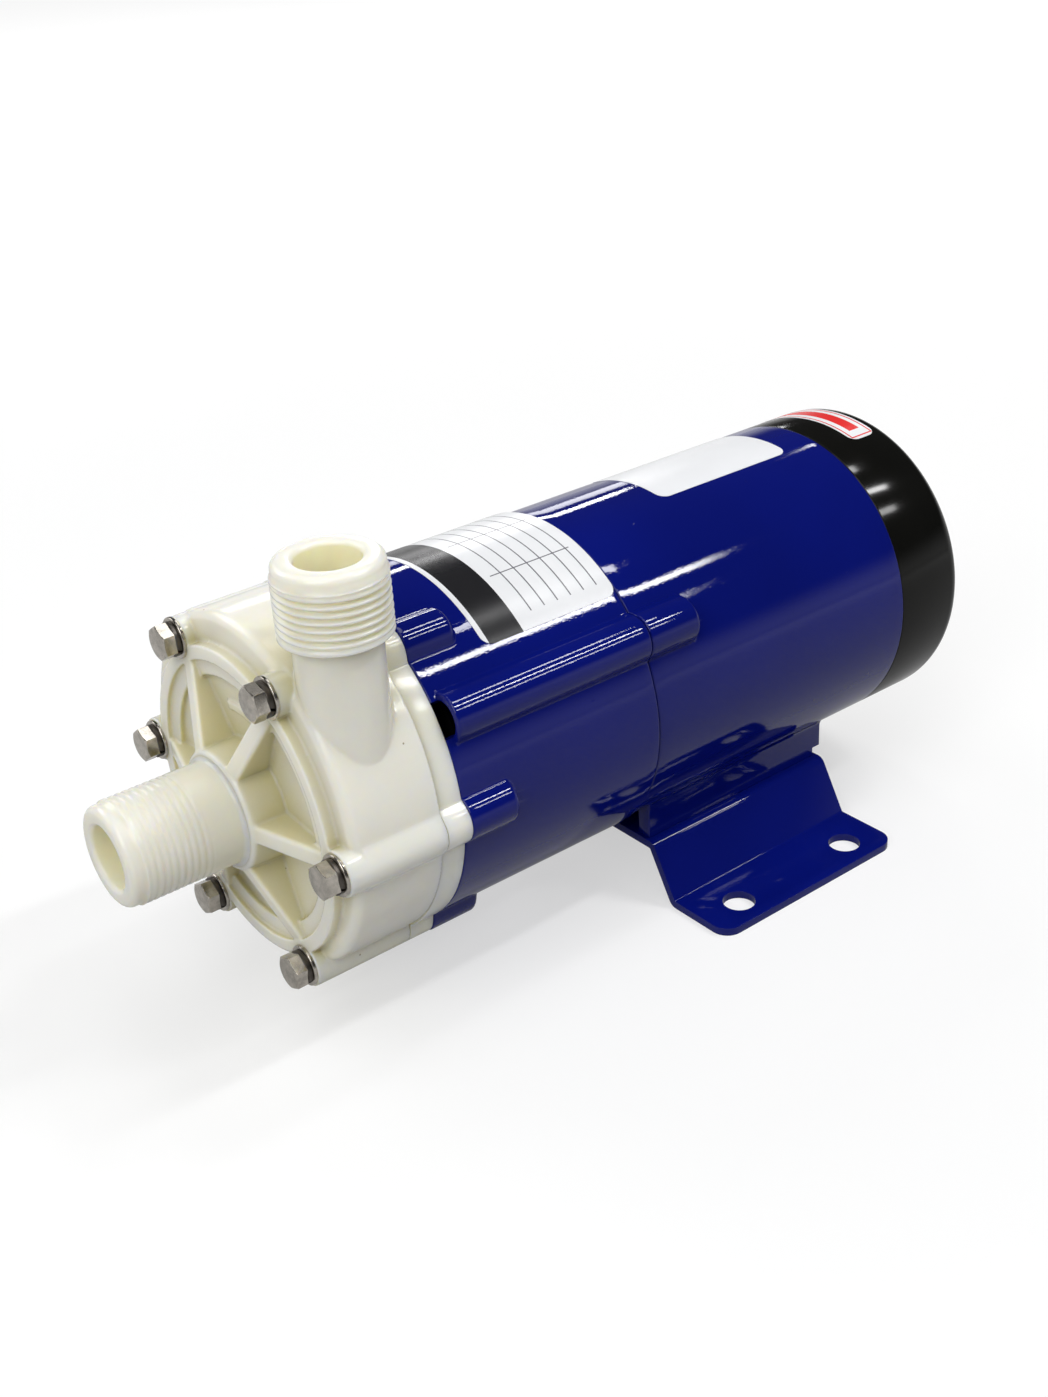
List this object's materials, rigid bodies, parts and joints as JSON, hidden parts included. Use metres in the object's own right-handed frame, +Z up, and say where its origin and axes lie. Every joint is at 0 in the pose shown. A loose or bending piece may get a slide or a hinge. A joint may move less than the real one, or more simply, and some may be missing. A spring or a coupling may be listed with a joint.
{
  "type": "magnetic drive pump",
  "caption": "Close-coupled magnetic drive pump: ribbed plastic pump head with threaded axial inlet and vertical outlet, coupling bracket, induction motor and pressed foot plate.",
  "frame": {"origin": "centre of the four foot holes, on the underside of the foot plate", "axes": "+X along the shaft from the inlet to the motor, +Z up along the outlet, +Y to the side away from the outlet"},
  "size_m": [0.2504, 0.119, 0.1318],
  "materials": {
    "casing_plastic": "moulded ivory polypropylene, slightly translucent",
    "filled_plastic": "dark filled plastic",
    "ceramic": "ground alumina ceramic",
    "rubber_black": "black elastomer",
    "stainless": "plain stainless steel",
    "steel": "ground steel",
    "lamination": "stacked steel laminations",
    "magnet": "sintered ferrite",
    "copper": "varnished copper wire",
    "bare_aluminium": "bare die casting",
    "blue_paint": "gloss deep blue enamel",
    "black_cover": "gloss black"
  },
  "bodies": {
    "pump": {"bracket_screws": "steel", "cable_gland": "black_cover", "capacitor": "filled_plastic", "capacitor_clip": "steel", "casing_bolts": "stainless", "casing_flat_washers": "stainless", "casing_o_ring": "rubber_black", "casing_spring_washers": "stainless", "foot_plate": "blue_paint", "foot_screws": "steel", "front_bearing_outer_ring": "steel", "front_casing": "casing_plastic", "front_thrust_washer": "ceramic", "gland_locknut": "black_cover", "motor_bracket": "blue_paint", "motor_shell": "blue_paint", "mouth_ring": "filled_plastic", "rear_bearing_outer_ring": "steel", "rear_casing": "casing_plastic", "rear_cover": "black_cover", "rear_cover_screws": "steel", "rear_shield": "bare_aluminium", "rear_shield_screws": "steel", "rear_thrust_washer": "ceramic", "spindle": "ceramic", "spindle_support": "casing_plastic", "stator_core": "lamination", "stator_windings": "copper", "terminal_block": "filled_plastic", "terminal_screws": "steel", "wave_spring": "steel"},
    "rotor": {"motor_shaft": "steel", "rotor_core": "lamination", "rotor_cage": "bare_aluminium", "front_bearing_inner_ring": "steel", "rear_bearing_inner_ring": "steel", "drive_yoke": "steel", "yoke_set_screw": "steel", "drive_magnets": "magnet"},
    "impeller_assembly": {"impeller": "casing_plastic", "impeller_bush": "filled_plastic", "driven_magnet": "magnet", "magnet_capsule": "casing_plastic"},
    "front_ball_set": {"front_bearing_balls": "steel"},
    "rear_ball_set": {"rear_bearing_balls": "steel"}
  },
  "joints": [
    {"name": "rotor_spin", "type": "hinge", "parent": "pump", "child": "rotor", "pos_m": [-0.0188, 0, 0.0618], "axis": [1, 0, 0], "continuous": true},
    {"name": "impeller_spin", "type": "hinge", "parent": "pump", "child": "impeller_assembly", "pos_m": [-0.0188, 0, 0.0618], "axis": [1, 0, 0], "continuous": true},
    {"name": "front_cage_spin", "type": "hinge", "parent": "pump", "child": "front_ball_set", "pos_m": [-0.0188, 0, 0.0618], "axis": [1, 0, 0], "continuous": true},
    {"name": "rear_cage_spin", "type": "hinge", "parent": "pump", "child": "rear_ball_set", "pos_m": [-0.0188, 0, 0.0618], "axis": [1, 0, 0], "continuous": true}
  ],
  "couplings": [
    {"joint": "impeller_spin", "follows": "rotor_spin", "ratio": 1},
    {"joint": "front_cage_spin", "follows": "rotor_spin", "ratio": 0.39},
    {"joint": "rear_cage_spin", "follows": "rotor_spin", "ratio": 0.39}
  ]
}
